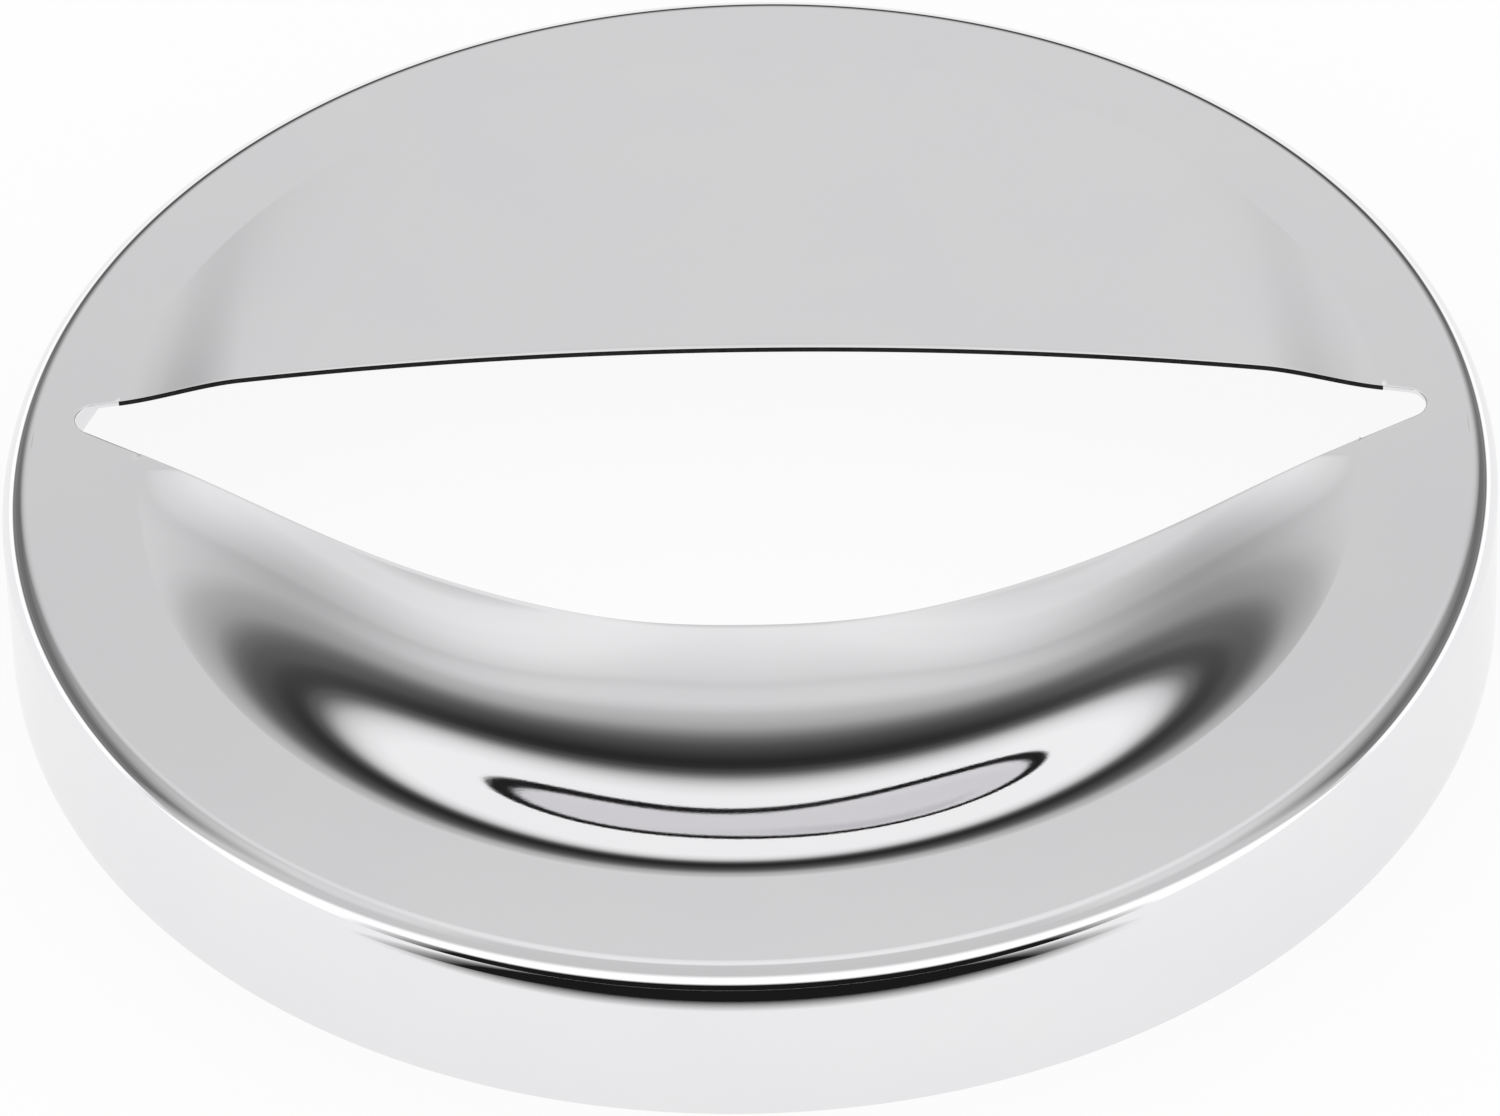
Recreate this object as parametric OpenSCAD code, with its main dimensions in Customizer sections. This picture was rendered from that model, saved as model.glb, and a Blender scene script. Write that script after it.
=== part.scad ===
// Round stainless-steel lid with a throw-in mouth, for a small table-top bin.
// The lid stands on its skirt: z = 0 is the skirt's lower edge, and the middle of the rim is x = y = 0.
// The mouth opens between the scoop in front (-Y) and the raised panel behind (+Y).

/* [Rim] */
// Outside diameter of the lid
outer_d = 130; // [122:1:145]
// Height from the lower edge of the skirt to the top of the flat ring
rim_h = 15.6; // [13:0.2:25]
// Thickness of the steel sheet
sheet_t = 0.5; // [0.3:0.05:0.8]
// Outside radius of the rolled shoulder
shoulder_r = 2.3; // [1.2:0.1:3.5]
// Width of the flat ring in front, from the shoulder to the scoop
front_ring_w = 9.7; // [8:0.1:12]
// Width of the flat ring behind, from the shoulder to the rear panel
rear_ring_w = 6.7; // [5.5:0.1:7.5]

/* [Mouth] */
// Distance of the rounded corners' centres outside the rear panel's forming line, sideways
corner_out = 1; // [0.5:0.1:1.6]
// Distance of the rounded corners' centres behind the middle
corner_y = 6.8; // [5:0.1:8.5]
// Radius of the rounded corners
corner_r = 1.95; // [1:0.05:2.5]
// Distance of the rear edge behind the middle, at its highest point
rear_edge_y = 14.1; // [12:0.1:17]
// Distance of the front edge ahead of the middle, at its lowest point
front_edge_y = 12.7; // [11:0.1:15]
// Slope of the front edge's two straight flanks, in degrees
flank_angle = 31; // [28:0.5:36]

/* [Scoop] */
// Depth of the scoop's floor below the flat ring
scoop_depth = 7.95; // [3.5:0.05:8.5]
// Width of the scoop's sloping wall at the front, from the bend under the flat ring in to the floor
scoop_wall_w = 31.5; // [24:0.5:34]

/* [Rear panel] */
// Height of the rear panel's edge above the flat ring
panel_rise = 1; // [0.5:0.1:3]
// Width of the ramp that lifts the rear panel's edge, at either end
ramp_w = 10.5; // [8:0.5:14]

/* [Hidden] */
$fn = 180;

// How the scoop changes from its front to its sides: the shares that the wall's width and the depth lose
// there, and how fast the depth fades
side_wall_loss = 0.52;
side_depth_loss = 0.925;
side_fade = 2.24;
// Width of the bend that eases the wall in under the flat ring, and how complete it is. Towards the sides it
// gets wider and less complete, so that the wall leaves the ring there at a crease.
bend_w = 1.9;
side_bend_gain = 5;
bend_share = 0.726;
side_bend_loss = 0.22;
// The wall's curve at the front, and what is added to it at the sides. A sharper wall drops later towards the
// floor, and a softer one starts with a wider round.
wall_sharp = 1.83;
side_sharp = 0.74;
wall_soft = 1.29;
side_soft = 0.98;
// A second curve without that round, added to the wall's as a share of it
sudden_share = 0.165;
side_sudden_share = 3;
sudden_sharp = 2.43;
// How fast the floor curls up again towards the mouth, per square millimetre
lip_curl = 0.0069;

// Steps of the two pressed surfaces
scoop_rays = 72;
scoop_steps = 24;
panel_columns = 72;
panel_steps = 8;
// Steps of each corner round
corner_steps = 16;

outer_r = outer_d / 2;
ring_r = outer_r - shoulder_r;
scoop_r = ring_r - front_ring_w;
panel_r = ring_r - rear_ring_w;

// --- Mouth outline, as seen from above ---

corner = [panel_r + corner_out, corner_y];

// Rear edge: one arc through its highest point, tangent to both corner rounds
rear_reach = rear_edge_y - corner_r;
rear_cy = (pow(rear_reach, 2) - corner * corner) / (2 * (rear_reach - corner.y));
rear_arc_r = rear_edge_y - rear_cy;

// Front edge: one arc at the middle, and a straight flank tangent to it and to each corner round
flank = [sin(flank_angle), -cos(flank_angle)];
flank_run = [cos(flank_angle), sin(flank_angle)];
flank_reach = flank * corner + corner_r;
front_edge_r = (flank_reach - cos(flank_angle) * front_edge_y) / (1 - cos(flank_angle));
front_cy = front_edge_r - front_edge_y;
flank_start = [0, front_cy] + front_edge_r * flank;

function rear_edge(x) = rear_cy + sqrt(pow(rear_arc_r, 2) - x * x);
function front_edge(x) =
    abs(x) <= flank_start.x
    ? front_cy - sqrt(pow(front_edge_r, 2) - x * x)
    : flank_start.y + (abs(x) - flank_start.x) * tan(flank_angle);

// Where the front edge crosses the scoop's forming line and the rear edge the panel's, at the right-hand end
front_tip = flank_reach * flank + sqrt(pow(scoop_r, 2) - pow(flank_reach, 2)) * flank_run;
rear_tip_y = (pow(panel_r, 2) + pow(rear_cy, 2) - pow(rear_arc_r, 2)) / (2 * rear_cy);
rear_tip = [sqrt(pow(panel_r, 2) - pow(rear_tip_y, 2)), rear_tip_y];

// --- Scoop: its wall falls from the forming line to the floor, and it gets shallow towards its sides ---

function scoop_drop(place) =
    let (
        r = norm(place),
        side = 1 - min(max(-place.y / r, 0), 1),
        inwards = max(scoop_r - r, 0),
        bend = bend_w * (1 + side_bend_gain * side),
        bent = inwards - (bend_share - side_bend_loss * side) * bend * (1 - exp(-inwards / bend)),
        wall_w = scoop_wall_w * (1 - side_wall_loss * side),
        left = max(1 - bent / wall_w, 0),
        soft_fall = pow(1 - pow(left, wall_sharp + side_sharp * side), wall_soft + side_soft * side),
        sudden_fall = 1 - pow(left, sudden_sharp),
        sudden = sudden_share + side_sudden_share * side,
        share = (soft_fall + sudden * sudden_fall) / (1 + sudden),
        beyond_wall = max(bent - wall_w, 0)
    )
    scoop_depth * (1 - side_depth_loss * pow(side, side_fade)) * share - lip_curl * pow(beyond_wall, 2);

// One row of points from the mouth's edge out to the forming line, at a turn to the right from straight ahead
tip_turn = 90 + atan2(front_tip.y, front_tip.x);

function scoop_row(turn) =
    let (
        inner_x = front_tip.x * sin(90 * turn / tip_turn),
        inner = [inner_x, front_edge(inner_x)],
        outer = scoop_r * [sin(turn), -cos(turn)]
    )
    [for (j = [0:scoop_steps])
        let (place = inner + (outer - inner) * j / scoop_steps)
        [place.x, place.y, rim_h - scoop_drop(place)]];

function corner_row(x, y, steps) = [for (j = [0:steps]) [x, y, rim_h]];

scoop_rows = [
    corner_row(-front_tip.x, front_tip.y, scoop_steps),
    for (i = [1:scoop_rays - 1]) scoop_row(tip_turn * (2 * i / scoop_rays - 1)),
    corner_row(front_tip.x, front_tip.y, scoop_steps)
];

// --- Rear panel: straight from the forming line up to the mouth's rear edge ---

function eased(s) = s >= 1 ? 1 : s * s * (3 - 2 * s);
function edge_rise(x) = panel_rise * eased((rear_tip.x - abs(x)) / ramp_w);

function panel_row(x) =
    let (back = sqrt(pow(panel_r, 2) - x * x), front = rear_edge(x))
    [for (j = [0:panel_steps])
        [x, back + (front - back) * j / panel_steps, rim_h + edge_rise(x) * j / panel_steps]];

panel_rows = [
    corner_row(-rear_tip.x, rear_tip.y, panel_steps),
    for (i = [1:panel_columns - 1]) panel_row(-rear_tip.x * cos(180 * i / panel_columns)),
    corner_row(rear_tip.x, rear_tip.y, panel_steps)
];

// A sheet of even thickness under a grid of points whose first and last rows each meet in one corner.
// Rows run from left to right, with the points of a row counter-clockwise round from the rows' direction.
module pressed_sheet(rows) {
    last_row = len(rows) - 1;
    last = len(rows[0]) - 1;
    size = (last_row + 1) * (last + 1);
    points = [
        for (row = rows) each row,
        for (row = rows) for (p = row) p - [0, 0, sheet_t]
    ];
    function at(i, j) = i * (last + 1) + j;
    faces = [
        for (i = [0:last_row - 1]) for (j = [0:last - 1]) each [
            [at(i, j), at(i + 1, j + 1), at(i, j + 1)],
            [at(i, j), at(i + 1, j), at(i + 1, j + 1)],
            [size + at(i, j), size + at(i, j + 1), size + at(i + 1, j + 1)],
            [size + at(i, j), size + at(i + 1, j + 1), size + at(i + 1, j)]
        ],
        for (i = [0:last_row - 1]) each [
            [at(i, 0), size + at(i + 1, 0), at(i + 1, 0)],
            [at(i, 0), size + at(i, 0), size + at(i + 1, 0)],
            [at(i, last), at(i + 1, last), size + at(i + 1, last)],
            [at(i, last), size + at(i + 1, last), size + at(i, last)]
        ]
    ];
    polyhedron(points, faces);
}

// --- Rim: the skirt with its rolled shoulder, and the flat ring inside the shoulder ---

// The mouth's outline in the flat ring: both edges run on inwards from the corner rounds, so that they cross
// the forming lines cleanly
module mouth_cut() {
    first_angle = flank_angle - 90;
    last_angle = atan2(corner.y - rear_cy, corner.x);
    right_round = [
        for (i = [0:corner_steps])
            let (angle = first_angle + (last_angle - first_angle) * i / corner_steps)
            corner + corner_r * [cos(angle), sin(angle)]
    ];
    rear_end = right_round[corner_steps];
    rear_inner = rear_end + 2 * (rear_tip - rear_end);
    front_inner = front_tip - corner_r * flank_run;
    right_half = [front_inner, each right_round, rear_inner];
    left_half = [for (i = [len(right_half) - 1:-1:0]) [-right_half[i].x, right_half[i].y]];
    polygon([each right_half, each left_half]);
}

// The pressed middle's outline: the scoop's circle ahead of the corners and the rear panel's behind them
module pressed_outline() {
    intersection() {
        circle(scoop_r);
        translate([-outer_r, corner_y - outer_r]) square([outer_d, outer_r]);
    }
    intersection() {
        circle(panel_r);
        translate([-outer_r, corner_y]) square([outer_d, outer_r]);
    }
}

module skirt() {
    color([0.78, 0.77, 0.79])
    rotate_extrude() {
        translate([outer_r - sheet_t, 0]) square([sheet_t, rim_h - shoulder_r]);
        translate([ring_r, rim_h - shoulder_r]) intersection() {
            difference() {
                circle(shoulder_r);
                circle(shoulder_r - sheet_t);
            }
            square(shoulder_r);
        }
    }
}

module top_ring() {
    color([0.80, 0.80, 0.82])
    translate([0, 0, rim_h - sheet_t]) linear_extrude(sheet_t) difference() {
        circle(ring_r);
        pressed_outline();
        mouth_cut();
    }
}

module scoop() {
    color([0.76, 0.76, 0.78]) pressed_sheet(scoop_rows);
}

module rear_panel() {
    color([0.82, 0.82, 0.84]) pressed_sheet(panel_rows);
}

skirt();
top_ring();
scoop();
rear_panel();
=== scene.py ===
from math import atan2, cos, exp, pi, radians, sin, sqrt, tan

import bmesh
import bpy
from mathutils import Matrix, Vector


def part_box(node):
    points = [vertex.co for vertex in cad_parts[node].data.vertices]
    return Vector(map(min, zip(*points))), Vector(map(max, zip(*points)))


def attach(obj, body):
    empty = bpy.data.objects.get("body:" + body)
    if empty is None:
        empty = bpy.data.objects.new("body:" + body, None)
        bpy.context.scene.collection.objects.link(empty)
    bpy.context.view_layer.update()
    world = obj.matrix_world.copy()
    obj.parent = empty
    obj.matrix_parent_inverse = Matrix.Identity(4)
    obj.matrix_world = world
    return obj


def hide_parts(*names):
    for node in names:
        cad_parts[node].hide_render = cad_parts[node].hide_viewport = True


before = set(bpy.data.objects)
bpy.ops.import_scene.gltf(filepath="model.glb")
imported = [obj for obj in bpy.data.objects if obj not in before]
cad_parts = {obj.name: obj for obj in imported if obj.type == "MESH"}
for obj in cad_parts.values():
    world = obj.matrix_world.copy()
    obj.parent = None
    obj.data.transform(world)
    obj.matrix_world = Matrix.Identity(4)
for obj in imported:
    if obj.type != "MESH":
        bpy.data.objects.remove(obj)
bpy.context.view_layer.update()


# ---------------------------------------------------------------------------------------------
# Skirt: the lid's vertical wall and the shoulder that rolls over into its top. The real one is the drawn
# edge of a single stainless-steel blank, trimmed square at the bottom and deburred, then bright-polished.

mm = 0.001
ring_low, ring_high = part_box("top_ring")
outer_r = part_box("skirt")[1].x
ring_r = ring_high.x
rim_top = ring_high.z
sheet = ring_high.z - ring_low.z
shoulder_r = outer_r - ring_r
wall_top = rim_top - shoulder_r
# Steps round the lid, over the shoulder and down the wall
turn_steps = 360
shoulder_steps = 28
wall_steps = 10
# The round that deburring leaves on a cut edge, and the least angle of a corner that it rounds
cut_edge = "cut_edge"
deburr = 0.22 * sheet
deburr_steps = 3
cut_corner = radians(60)
# Faces shade as one curve up to this angle, and points this near to each other are one
sharpest_curve = radians(35)
merge_gap = 0.01 * sheet


def run_operator(operator, **settings):
    """Runs an operator, and stops the script where it doesn't finish."""
    result = operator(**settings)
    if "FINISHED" not in result:
        raise RuntimeError(f"{operator.idname()} did not finish")


def apply_modifier(piece, kind, **settings):
    """Adds one modifier with its settings and applies it."""
    bpy.context.view_layer.objects.active = piece
    modifier = piece.modifiers.new(kind.lower(), kind)
    for name, value in settings.items():
        setattr(modifier, name, value)
    run_operator(bpy.ops.object.modifier_apply, modifier=modifier.name)


def lay_sheet(name, rows, is_cut):
    """A flat grid, moved to rows of places on the sheet's outer face. is_cut tells from a point's row and
    its place in the row whether it lies on a cut edge."""
    bpy.ops.object.select_all(action="DESELECT")
    across = len(rows[0])
    run_operator(bpy.ops.mesh.primitive_grid_add, x_subdivisions=across - 1, y_subdivisions=len(rows) - 1)
    piece = bpy.context.object
    piece.name = name
    piece.data.name = name
    piece.data.vertices.foreach_set("co", [value for row in rows for place in row for value in place])
    piece.data.update()
    cut_points = [i * across + j for i in range(len(rows)) for j in range(across) if is_cut(i, j)]
    piece.vertex_groups.new(name=cut_edge).add(cut_points, 1.0, "REPLACE")
    return piece


def merge_doubles(piece):
    """Joins a closed sheet's last row to its first, and the points of a row that runs out in a tip."""
    run_operator(bpy.ops.object.mode_set, mode="EDIT")
    run_operator(bpy.ops.mesh.select_all, action="SELECT")
    run_operator(bpy.ops.mesh.remove_doubles, threshold=merge_gap)
    run_operator(bpy.ops.object.mode_set, mode="OBJECT")


def round_cut_edges(piece):
    """Rounds the two long corners of the cut edge, as deburring leaves them."""
    run_operator(bpy.ops.object.mode_set, mode="EDIT")
    bpy.ops.mesh.select_mode(type="EDGE")
    run_operator(bpy.ops.mesh.select_all, action="DESELECT")
    work = bmesh.from_edit_mesh(piece.data)
    weights = work.verts.layers.deform.active
    group = piece.vertex_groups[cut_edge].index
    for edge in work.edges:
        on_cut = all(group in vert[weights] for vert in edge.verts)
        edge.select = on_cut and edge.calc_face_angle(0.0) > cut_corner
    work.select_flush_mode()
    bmesh.update_edit_mesh(piece.data)
    run_operator(bpy.ops.mesh.bevel, offset=deburr, segments=deburr_steps, affect="EDGES", clamp_overlap=True)
    run_operator(bpy.ops.object.mode_set, mode="OBJECT")


def finish_sheet(piece, node, material, cut_material=None):
    """Gives the sheet its thickness on the inner side, rounds its cut edge and hands it to its CAD node."""
    merge_doubles(piece)
    piece.data.materials.clear()
    piece.data.materials.append(material)
    piece.data.materials.append(cut_material or material)
    # An even offset isn't used, because it throws long spikes where the scoop runs out in its tips
    apply_modifier(piece, "SOLIDIFY", thickness=sheet, offset=-1.0, material_offset_rim=1)
    round_cut_edges(piece)
    run_operator(bpy.ops.object.shade_smooth_by_angle, angle=sharpest_curve)
    piece.vertex_groups.clear()
    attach(piece, "root")
    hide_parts(node)


class Field:
    """An output of a node. Sums, products and quotients of fields add the Math nodes that they need."""

    def __init__(self, tree, socket):
        self.tree = tree
        self.socket = socket

    @classmethod
    def node(cls, tree, kind, settings=None, inputs=None, output=0):
        """Adds a node, makes its settings, then fills its sockets with values or with fields."""
        made = tree.nodes.new(kind)
        for name, value in (settings or {}).items():
            if name == "stops":
                while len(made.color_ramp.elements) > 1:
                    made.color_ramp.elements.remove(made.color_ramp.elements[-1])
                for index, (place, level) in enumerate(value):
                    stop = made.color_ramp.elements[0] if index == 0 else made.color_ramp.elements.new(place)
                    stop.position = place
                    stop.color = (level, level, level, 1.0)
            else:
                setattr(made, name, value)
        for name, value in (inputs or {}).items():
            if isinstance(value, Field):
                value.feed(made, name)
            else:
                made.inputs[name].default_value = value
        return cls(tree, made.outputs[output]) if made.outputs else None

    def feed(self, node, name):
        """Links the field to one of a node's sockets."""
        self.tree.links.new(self.socket, node.inputs[name])

    def math(self, operation, *others):
        inputs = dict(enumerate((self, *others)))
        return Field.node(self.tree, "ShaderNodeMath", {"operation": operation}, inputs)

    def __add__(self, other):
        return self.math("ADD", other)

    def __mul__(self, other):
        return self.math("MULTIPLY", other)

    __radd__ = __add__
    __rmul__ = __mul__

    def __truediv__(self, other):
        return self.math("DIVIDE", other)

    def fade(self, start, end):
        """0 where the field is at start, 1 where it is at end, and straight in between."""
        limits = {"Value": self, "From Min": start, "From Max": end}
        return Field.node(self.tree, "ShaderNodeMapRange", None, limits)

    def part(self, axis):
        """The X, Y or Z of a field of places or directions."""
        return Field.node(self.tree, "ShaderNodeSeparateXYZ", None, {0: self}, axis)


def noise(tree, scale, detail):
    """A pattern that stays on the piece. The scale is in blotches per metre."""
    place = Field.node(tree, "ShaderNodeTexCoord", output="Object")
    return Field.node(tree, "ShaderNodeTexNoise", None, {"Vector": place, "Scale": scale, "Detail": detail})


def mixed(tree, share, low, high):
    """A colour between two others, by a share from 0 to 1."""
    colours = {"Factor": share, "A": low, "B": high}
    return Field.node(tree, "ShaderNodeMix", {"data_type": "RGBA"}, colours, output=2)


def bare_steel(name, scale, detail, darkest, lightest, smoothest, roughest):
    """Steel whose tint and roughness drift together between their two ends."""
    material = bpy.data.materials.new(name)
    material.use_nodes = True
    tree = material.node_tree
    surface = tree.nodes["Principled BSDF"]
    surface.inputs["Metallic"].default_value = 1.0
    blotches = noise(tree, scale, detail)
    mixed(tree, blotches, darkest, lightest).feed(surface, "Base Color")
    (smoothest + (roughest - smoothest) * blotches).feed(surface, "Roughness")
    return material


def add_grain(material, scale, detail, strength, height):
    """Fine bumps, as the polishing wheel leaves them."""
    tree = material.node_tree
    grain = {"Height": noise(tree, scale, detail), "Strength": strength, "Distance": height}
    bump = Field.node(tree, "ShaderNodeBump", None, grain)
    bump.feed(tree.nodes["Principled BSDF"], "Normal")


# Bright-polished stainless steel: a near-mirror with a faint haze, whose grain frays what it reflects
polished = bare_steel(
    "polished_steel",
    scale=90.0,
    detail=3.0,
    darkest=(0.84, 0.83, 0.85, 1.0),
    lightest=(0.87, 0.865, 0.875, 1.0),
    smoothest=0.01,
    roughest=0.022,
)
add_grain(polished, scale=5200.0, detail=2.0, strength=0.06, height=0.005 * mm)

shoulder_turns = [pi / 2 * step / shoulder_steps for step in range(shoulder_steps + 1)]
skirt_profile = [
    (ring_r + shoulder_r * sin(turn), wall_top + shoulder_r * cos(turn)) for turn in shoulder_turns
]
skirt_profile += [(outer_r, wall_top * (1 - step / wall_steps)) for step in range(1, wall_steps + 1)]
skirt_turns = [2 * pi * step / turn_steps for step in range(turn_steps + 1)]
skirt_rows = [[(r * cos(turn), r * sin(turn), z) for r, z in skirt_profile] for turn in skirt_turns]
skirt = lay_sheet("skirt_skin", skirt_rows, lambda i, j: j == len(skirt_profile) - 1)
finish_sheet(skirt, "skirt", polished)


# ---------------------------------------------------------------------------------------------
# Flat ring: the level part of the top between the shoulder and the pressed middle. The mouth's two rounded
# corners are pierced out of it, and their edge is deburred.

scoop_r = -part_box("scoop")[0].y
panel_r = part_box("rear_panel")[1].y
corner_out = 1.0 * mm
corner_y = 6.8 * mm
corner_r = 1.95 * mm
rear_edge_y = 14.1 * mm
front_edge_y = 12.7 * mm
flank_angle = radians(31)
# Steps across the ring, round a corner, and along the ring's two forming lines
ring_steps = 12
corner_steps = 24
rear_line_steps = 180
front_line_steps = 200

# Rear edge of the mouth: an arc through its highest point, tangent to the corner rounds
corner = Vector((panel_r + corner_out, corner_y))
rear_reach = rear_edge_y - corner_r
rear_cy = (rear_reach**2 - corner.length_squared) / (2 * (rear_reach - corner.y))
rear_arc_r = rear_edge_y - rear_cy

# Front edge: an arc at the middle, and a straight flank tangent to it and to each corner round
flank = Vector((sin(flank_angle), -cos(flank_angle)))
flank_run = Vector((cos(flank_angle), sin(flank_angle)))
flank_reach = flank.dot(corner) + corner_r
front_edge_r = (flank_reach - cos(flank_angle) * front_edge_y) / (1 - cos(flank_angle))
front_cy = front_edge_r - front_edge_y
flank_start = Vector((0, front_cy)) + front_edge_r * flank

# Where the front edge crosses the scoop's forming line and the rear edge the panel's, at the right-hand end
front_tip = flank_reach * flank + sqrt(scoop_r**2 - flank_reach**2) * flank_run
front_tip_turn = atan2(front_tip.y, front_tip.x)
rear_tip_y = (panel_r**2 + rear_cy**2 - rear_arc_r**2) / (2 * rear_cy)
rear_tip = Vector((sqrt(panel_r**2 - rear_tip_y**2), rear_tip_y))
rear_tip_turn = atan2(rear_tip.y, rear_tip.x)


def rear_edge(x):
    return rear_cy + sqrt(rear_arc_r**2 - x**2)


def front_edge(x):
    if abs(x) <= flank_start.x:
        return front_cy - sqrt(front_edge_r**2 - x**2)
    return flank_start.y + (abs(x) - flank_start.x) * tan(flank_angle)


def forming_line(r, start, end, steps):
    """Points on a circle round the lid's middle, without the two ends."""
    turns = [start + (end - start) * step / steps for step in range(1, steps)]
    return [Vector((r * cos(turn), r * sin(turn))) for turn in turns]


# The right-hand corner's edge, from the front crossing round to the rear crossing
first_turn = flank_angle - pi / 2
last_turn = atan2(corner.y - rear_cy, corner.x)
right_corner = [front_tip]
for step in range(corner_steps + 1):
    turn = first_turn + (last_turn - first_turn) * step / corner_steps
    right_corner.append(corner + corner_r * Vector((cos(turn), sin(turn))))
right_corner.append(rear_tip)
left_corner = [Vector((-point.x, point.y)) for point in reversed(right_corner)]
rear_line = forming_line(panel_r, rear_tip_turn, pi - rear_tip_turn, rear_line_steps)
front_line = forming_line(scoop_r, pi - front_tip_turn, 2 * pi + front_tip_turn, front_line_steps)

# The ring's inner side, once round: each point, and whether it lies on a pierced corner
inner_side = [(point, True) for point in right_corner]
inner_side += [(point, False) for point in rear_line]
inner_side += [(point, True) for point in left_corner]
inner_side += [(point, False) for point in front_line]
inner_side.append(inner_side[0])

ring_rows = []
for inner, _ in inner_side:
    outer = inner.normalized() * ring_r
    places = [inner.lerp(outer, step / ring_steps) for step in range(ring_steps + 1)]
    ring_rows.append([(place.x, place.y, rim_top) for place in places])
top_ring = lay_sheet("top_ring_skin", ring_rows, lambda i, j: j == 0 and inner_side[i][1])
finish_sheet(top_ring, "top_ring", polished)


# ---------------------------------------------------------------------------------------------
# Scoop: the front of the middle, pressed down into a shallow dish that leads to the mouth. Its wall is
# deepest in front and fades at the sides, and its floor curls up a little to the mouth's deburred edge.

scoop_depth = rim_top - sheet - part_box("scoop")[0].z
scoop_wall_w = 31.5 * mm
# The shares of the wall's width and of the depth that are lost at the sides, and how fast the depth fades
side_wall_loss = 0.52
side_depth_loss = 0.925
side_fade = 2.24
# The bend that eases the wall in under the flat ring gets wider and less complete towards the sides
bend_w = 1.9 * mm
side_bend_gain = 5.0
bend_share = 0.726
side_bend_loss = 0.22
# The wall's curve in front, and what is added to it at the sides
wall_sharp = 1.83
side_sharp = 0.74
wall_soft = 1.29
side_soft = 0.98
# A second curve without a round at the ring, added to the wall's as a share of it
sudden_share = 0.165
side_sudden_share = 3.0
sudden_sharp = 2.43
# How fast the floor curls up again towards the mouth
lip_curl = 0.0069 / mm
# Steps round the scoop and across it. Those across get finer towards the ring, where the wall bends most.
scoop_rays = 300
scoop_steps = 110
bunching = 1.35


def scoop_drop(place):
    """How far the scoop lies below the flat ring at a place seen from above."""
    side = 1 - min(max(-place.y / place.length, 0.0), 1.0)
    inwards = max(scoop_r - place.length, 0.0)
    bend = bend_w * (1 + side_bend_gain * side)
    bent = inwards - (bend_share - side_bend_loss * side) * bend * (1 - exp(-inwards / bend))
    wall_w = scoop_wall_w * (1 - side_wall_loss * side)
    left = max(1 - bent / wall_w, 0.0)
    soft_fall = (1 - left ** (wall_sharp + side_sharp * side)) ** (wall_soft + side_soft * side)
    sudden_fall = 1 - left**sudden_sharp
    sudden = sudden_share + side_sudden_share * side
    share = (soft_fall + sudden * sudden_fall) / (1 + sudden)
    beyond_wall = max(bent - wall_w, 0.0)
    return scoop_depth * (1 - side_depth_loss * side**side_fade) * share - lip_curl * beyond_wall**2


def tip_row(x, y, steps):
    """A row whose points all lie in one tip of a pressed sheet."""
    return [(x, y, rim_top)] * (steps + 1)


# Each row runs from the mouth out to the forming line, at a turn to the right from straight ahead
widest_turn = pi / 2 + front_tip_turn
shares = [1 - (1 - step / scoop_steps) ** bunching for step in range(scoop_steps + 1)]
scoop_rows = [tip_row(-front_tip.x, front_tip.y, scoop_steps)]
for ray in range(1, scoop_rays):
    turn = widest_turn * (2 * ray / scoop_rays - 1)
    inner_x = front_tip.x * sin(pi / 2 * turn / widest_turn)
    inner = Vector((inner_x, front_edge(inner_x)))
    outer = scoop_r * Vector((sin(turn), -cos(turn)))
    places = [inner.lerp(outer, share) for share in shares]
    scoop_rows.append([(place.x, place.y, rim_top - scoop_drop(place)) for place in places])
scoop_rows.append(tip_row(front_tip.x, front_tip.y, scoop_steps))
scoop = lay_sheet("scoop_skin", scoop_rows, lambda i, j: j == 0)
finish_sheet(scoop, "scoop", polished)


# ---------------------------------------------------------------------------------------------
# Rear panel: the back of the middle, lifted a little as one taut sheet from the forming line to the mouth's
# rear edge, with a short ramp at either end of that edge. The cut face there is matt, and its near-black
# colour is painted shade, standing in for the dark that this edge shows.

panel_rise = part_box("rear_panel")[1].z - rim_top
ramp_w = 10.5 * mm
# Steps along the panel and across it
panel_columns = 260
panel_steps = 60

# The cut face: a rougher steel painted near black, which is painted shade rather than the steel's own colour
cut_face_shade = bare_steel(
    "cut_face_painted_shade",
    scale=1400.0,
    detail=4.0,
    darkest=(0.004, 0.004, 0.004, 1.0),
    lightest=(0.05, 0.048, 0.05, 1.0),
    smoothest=0.45,
    roughest=0.65,
)


def edge_rise(x):
    """How far the mouth's rear edge lies above the flat ring: it eases in and out over each ramp."""
    share = min((rear_tip.x - abs(x)) / ramp_w, 1.0)
    return panel_rise * share**2 * (3 - 2 * share)


# Each row runs straight from the forming line forward to the mouth
shares = [step / panel_steps for step in range(panel_steps + 1)]
panel_rows = [tip_row(-rear_tip.x, rear_tip.y, panel_steps)]
for column in range(1, panel_columns):
    x = -rear_tip.x * cos(pi * column / panel_columns)
    back = sqrt(panel_r**2 - x**2)
    forward = rear_edge(x) - back
    rise = edge_rise(x)
    panel_rows.append([(x, back + forward * share, rim_top + rise * share) for share in shares])
panel_rows.append(tip_row(rear_tip.x, rear_tip.y, panel_steps))
rear_panel = lay_sheet("rear_panel_skin", panel_rows, lambda i, j: j == panel_steps)
# The rear edge's cut face gets the near-black steel, whose colour is painted shade
finish_sheet(rear_panel, "rear_panel", polished, cut_face_shade)


# ---------------------------------------------------------------------------------------------
# Table: a white board under the lid. It shows nearly plain white and keeps the lid's faint shadow, and in
# front of the lid it ends in a dark room, which only the steel mirrors.

table_size = 80 * outer_r
table_colour = (0.9, 0.9, 0.9, 1.0)
room_colour = (0.012, 0.012, 0.012, 1.0)
white = (1.0, 1.0, 1.0, 1.0)
# How much of the table's light is its own, to the eye and in the steel. The rest comes from the studio.
seen_glow = 0.9
mirrored_glow = 0.8
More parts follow.
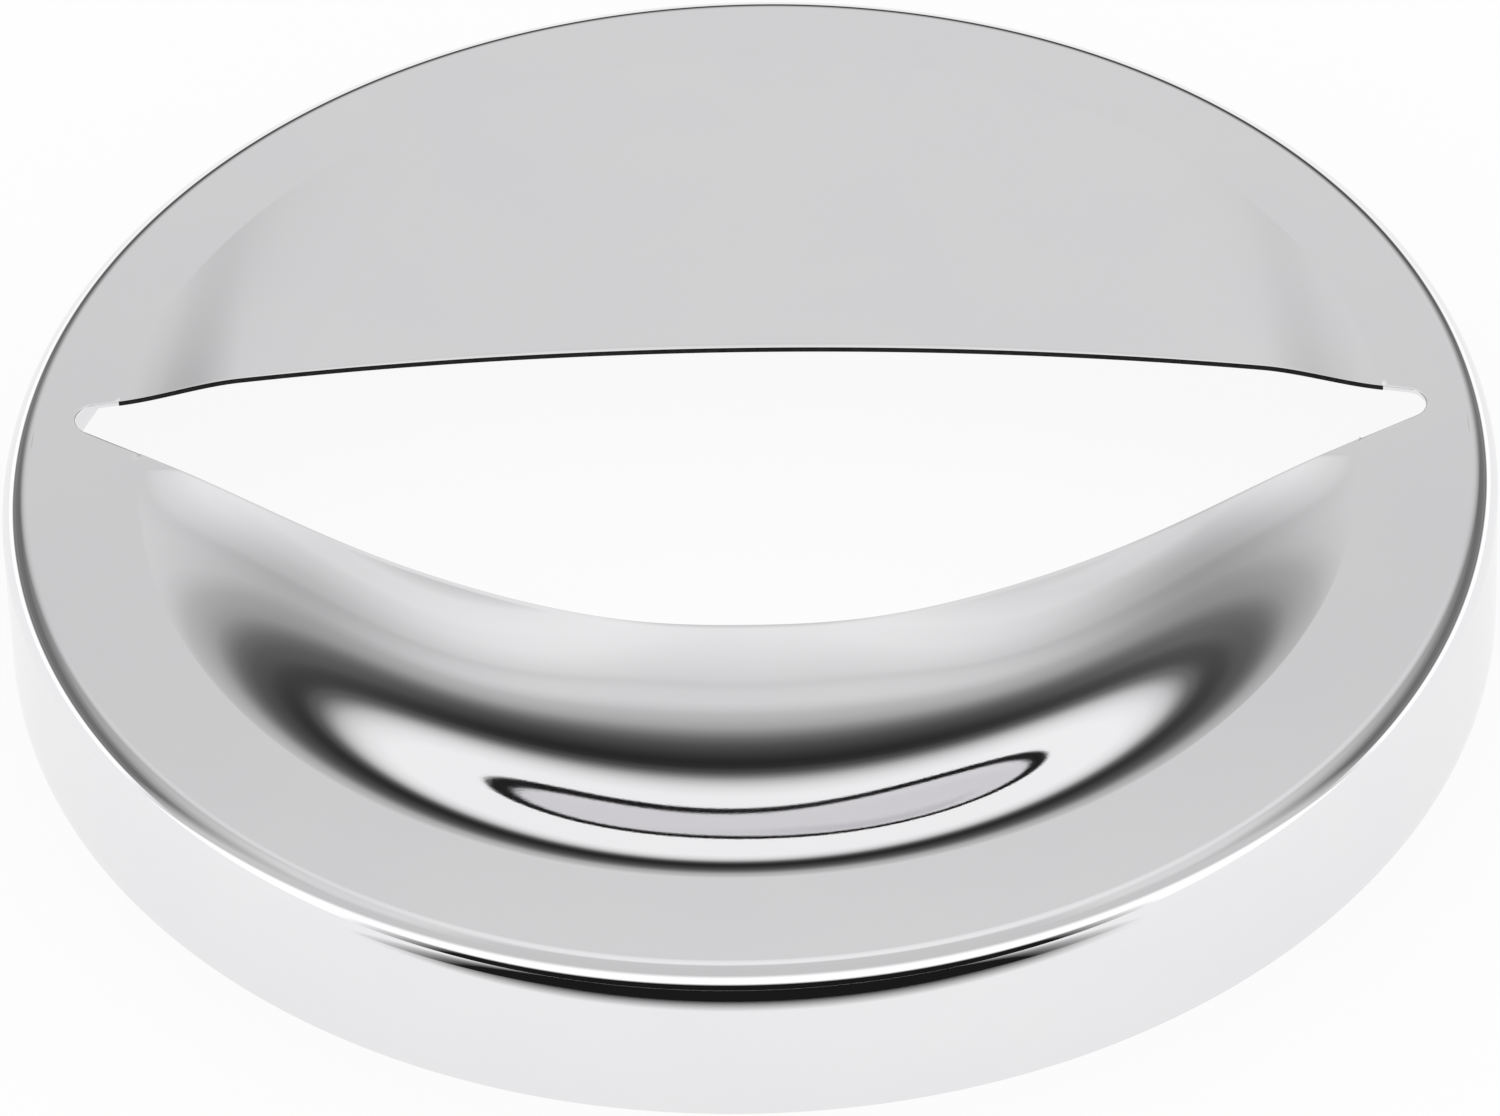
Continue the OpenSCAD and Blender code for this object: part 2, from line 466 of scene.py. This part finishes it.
# The room starts at this distance from the lid's middle, in outer radii, and is full at the next
room_start = 1.19
room_full = 1.22
# It lies ahead of the lid: the Y of a direction from the middle where it starts, and where it is full
room_start_y = -0.8
room_full_y = -0.9

bpy.ops.object.select_all(action="DESELECT")
run_operator(bpy.ops.mesh.primitive_plane_add, size=table_size)
table = bpy.context.object
table.name = "table"
material = bpy.data.materials.new("white_table")
material.use_nodes = True
tree = material.node_tree
tree.nodes.clear()
seen = Field.node(tree, "ShaderNodeLightPath", output="Is Camera Ray")
mirrored = Field.node(tree, "ShaderNodeLightPath", output="Is Glossy Ray")
place = Field.node(tree, "ShaderNodeTexCoord", output="Object")
table_x = place.part("X")
table_y = place.part("Y")
reach = (table_x * table_x + table_y * table_y).math("SQRT") / outer_r
room = reach.fade(room_start, room_full) * (table_y / outer_r / reach).fade(room_start_y, room_full_y)
glow = Field.node(tree, "ShaderNodeEmission", None, {"Color": white, "Strength": 1.0})
matt = Field.node(tree, "ShaderNodeBsdfDiffuse", None, {"Color": table_colour})
dark = Field.node(tree, "ShaderNodeEmission", None, {"Color": room_colour, "Strength": 1.0})
glowing = seen * seen_glow + mirrored * mirrored_glow
lit = Field.node(tree, "ShaderNodeMixShader", None, {0: glowing, 1: matt, 2: glow})
shown = Field.node(tree, "ShaderNodeMixShader", None, {0: mirrored * room, 1: lit, 2: dark})
Field.node(tree, "ShaderNodeOutputMaterial", None, {"Surface": shown})
table.data.materials.append(material)


# ---------------------------------------------------------------------------------------------
# Studio: plain soft light all round. Only mirrored rays see its cards: a dark one low behind the lid, a grey
# ceiling, a white card and a dark room in front. A polished lid shows nothing else of its shape.

# How much of the light that meets it polished steel gives back
steel_shine = 0.85
# The cards behind change to those at the sides within this turn from straight behind, and late in it
side_turn = radians(30)
side_lateness = 1.2
# Where the cards in front take over from those behind, as the Y of a direction
front_start_y = 0.1
front_full_y = -0.1
# Where those straight in front take over from those in front at the sides
ahead_start_y = -0.55
ahead_full_y = -0.75


def light(grey):
    """The light that polished steel shows as this display grey, from 0 to 1, by the display's own curve."""
    return ((grey + 0.055) / 1.055) ** 2.4 / steel_shine


def cards(tree, half_turns, stops):
    """A field that runs through pairs of an angle in degrees and the grey that the steel shows there."""
    ramp = [(angle / 180, light(grey)) for angle, grey in stops]
    return Field.node(tree, "ShaderNodeValToRGB", {"stops": ramp}, {"Fac": half_turns})


# Behind the lid, by height above the horizon: straight behind, and to either side
straight_behind = [
    (0, 0.92), (8, 0.92), (10, 0.85), (11.5, 0.72), (13, 0.45), (14, 0.30), (15.5, 0.17), (17, 0.15),
    (18.7, 0.20), (20.5, 0.26), (22, 0.31), (24, 0.41), (25.5, 0.51), (27.5, 0.63), (29.5, 0.685),
    (31.5, 0.72), (33.5, 0.78), (35.5, 0.815), (39, 0.815), (42, 0.79), (44, 0.825), (48, 0.86),
    (52, 0.89), (60, 0.91), (68, 0.91), (74, 0.775),
]
side_behind = [
    (0, 1.0), (12, 1.0), (14, 0.67), (16, 0.475), (18, 0.45), (20, 0.52), (22, 0.475), (24, 0.447),
    (26, 0.435), (28, 0.43), (30, 0.424), (34, 0.416), (36, 0.47), (40, 0.515), (42, 0.557), (44, 0.61),
    (48, 0.65), (52, 0.71), (56, 0.757), (60, 0.82), (68, 0.84), (74, 0.775),
]
# In front, by angle over the top from the horizon behind: a grey ceiling, a white card and the dark room
straight_in_front = [(0, 0.77), (118, 0.77), (130, 1.0), (152, 1.0), (159, 0.1), (180, 0.1)]
side_in_front = [(0, 0.77), (118, 0.77), (130, 1.0), (180, 1.0)]

scene = bpy.context.scene
scene.view_settings.view_transform = "Standard"
world = bpy.data.worlds.new("studio")
scene.world = world
world.use_nodes = True
tree = world.node_tree
tree.nodes.clear()
direction = Field.node(tree, "ShaderNodeTexCoord", output="Generated")
dir_x = direction.part("X")
dir_y = direction.part("Y")
dir_z = direction.part("Z")
height = dir_z.math("ARCSINE").fade(0.0, pi)
over = dir_z.math("ARCTAN2", dir_y).fade(0.0, pi)
# The turn is squared before its power is taken, because a turn to the left is negative
turned = dir_x.math("ARCTAN2", dir_y) / side_turn
aside = (turned * turned).math("POWER", side_lateness).fade(0.0, 1.0)
frontness = dir_y.fade(front_start_y, front_full_y)
ahead = dir_y.fade(ahead_start_y, ahead_full_y)
behind = mixed(tree, aside, cards(tree, height, straight_behind), cards(tree, height, side_behind))
in_front = mixed(tree, ahead, cards(tree, over, side_in_front), cards(tree, over, straight_in_front))
all_round = mixed(tree, frontness, behind, in_front)
mirrored = Field.node(tree, "ShaderNodeLightPath", output="Is Glossy Ray")
plain = Field.node(tree, "ShaderNodeBackground", None, {"Color": white, "Strength": 1.0})
shown_cards = Field.node(tree, "ShaderNodeBackground", None, {"Color": all_round, "Strength": 1.0})
shown = Field.node(tree, "ShaderNodeMixShader", None, {0: mirrored, 1: plain, 2: shown_cards})
Field.node(tree, "ShaderNodeOutputWorld", None, {"Surface": shown})


# ---------------------------------------------------------------------------------------------
# Camera: a long lens above the front of the lid, a little to the right of its middle and rolled a little.
# It aims just past the lid's middle, so that the lid fills the picture.

camera_azimuth = radians(2.17)
camera_elevation = radians(41.78)
camera_roll = radians(-2.14)
camera_distance = 16 * outer_r
aim_above = 0.0514 * outer_r
aim_left = 0.0047 * outer_r

back = Vector((
    sin(camera_azimuth) * cos(camera_elevation),
    -cos(camera_azimuth) * cos(camera_elevation),
    sin(camera_elevation),
))
level = Vector((0, 0, 1)).cross(back).normalized()
above = back.cross(level)
right = level * cos(camera_roll) + above * sin(camera_roll)
up = above * cos(camera_roll) - level * sin(camera_roll)
position = camera_distance * back
aim = aim_above * up - aim_left * right
view_back = (position - aim).normalized()
view_right = up.cross(view_back).normalized()
view_up = view_back.cross(view_right)
view_turn = Matrix((view_right, view_up, view_back)).transposed()

camera_data = bpy.data.cameras.new("camera")
camera_data.sensor_width = 36
camera_data.lens = 284.6
camera_data.clip_start = outer_r
camera_data.clip_end = 100 * outer_r
camera = bpy.data.objects.new("camera", camera_data)
scene.collection.objects.link(camera)
camera.matrix_world = Matrix.Translation(position) @ view_turn.to_4x4()
scene.camera = camera
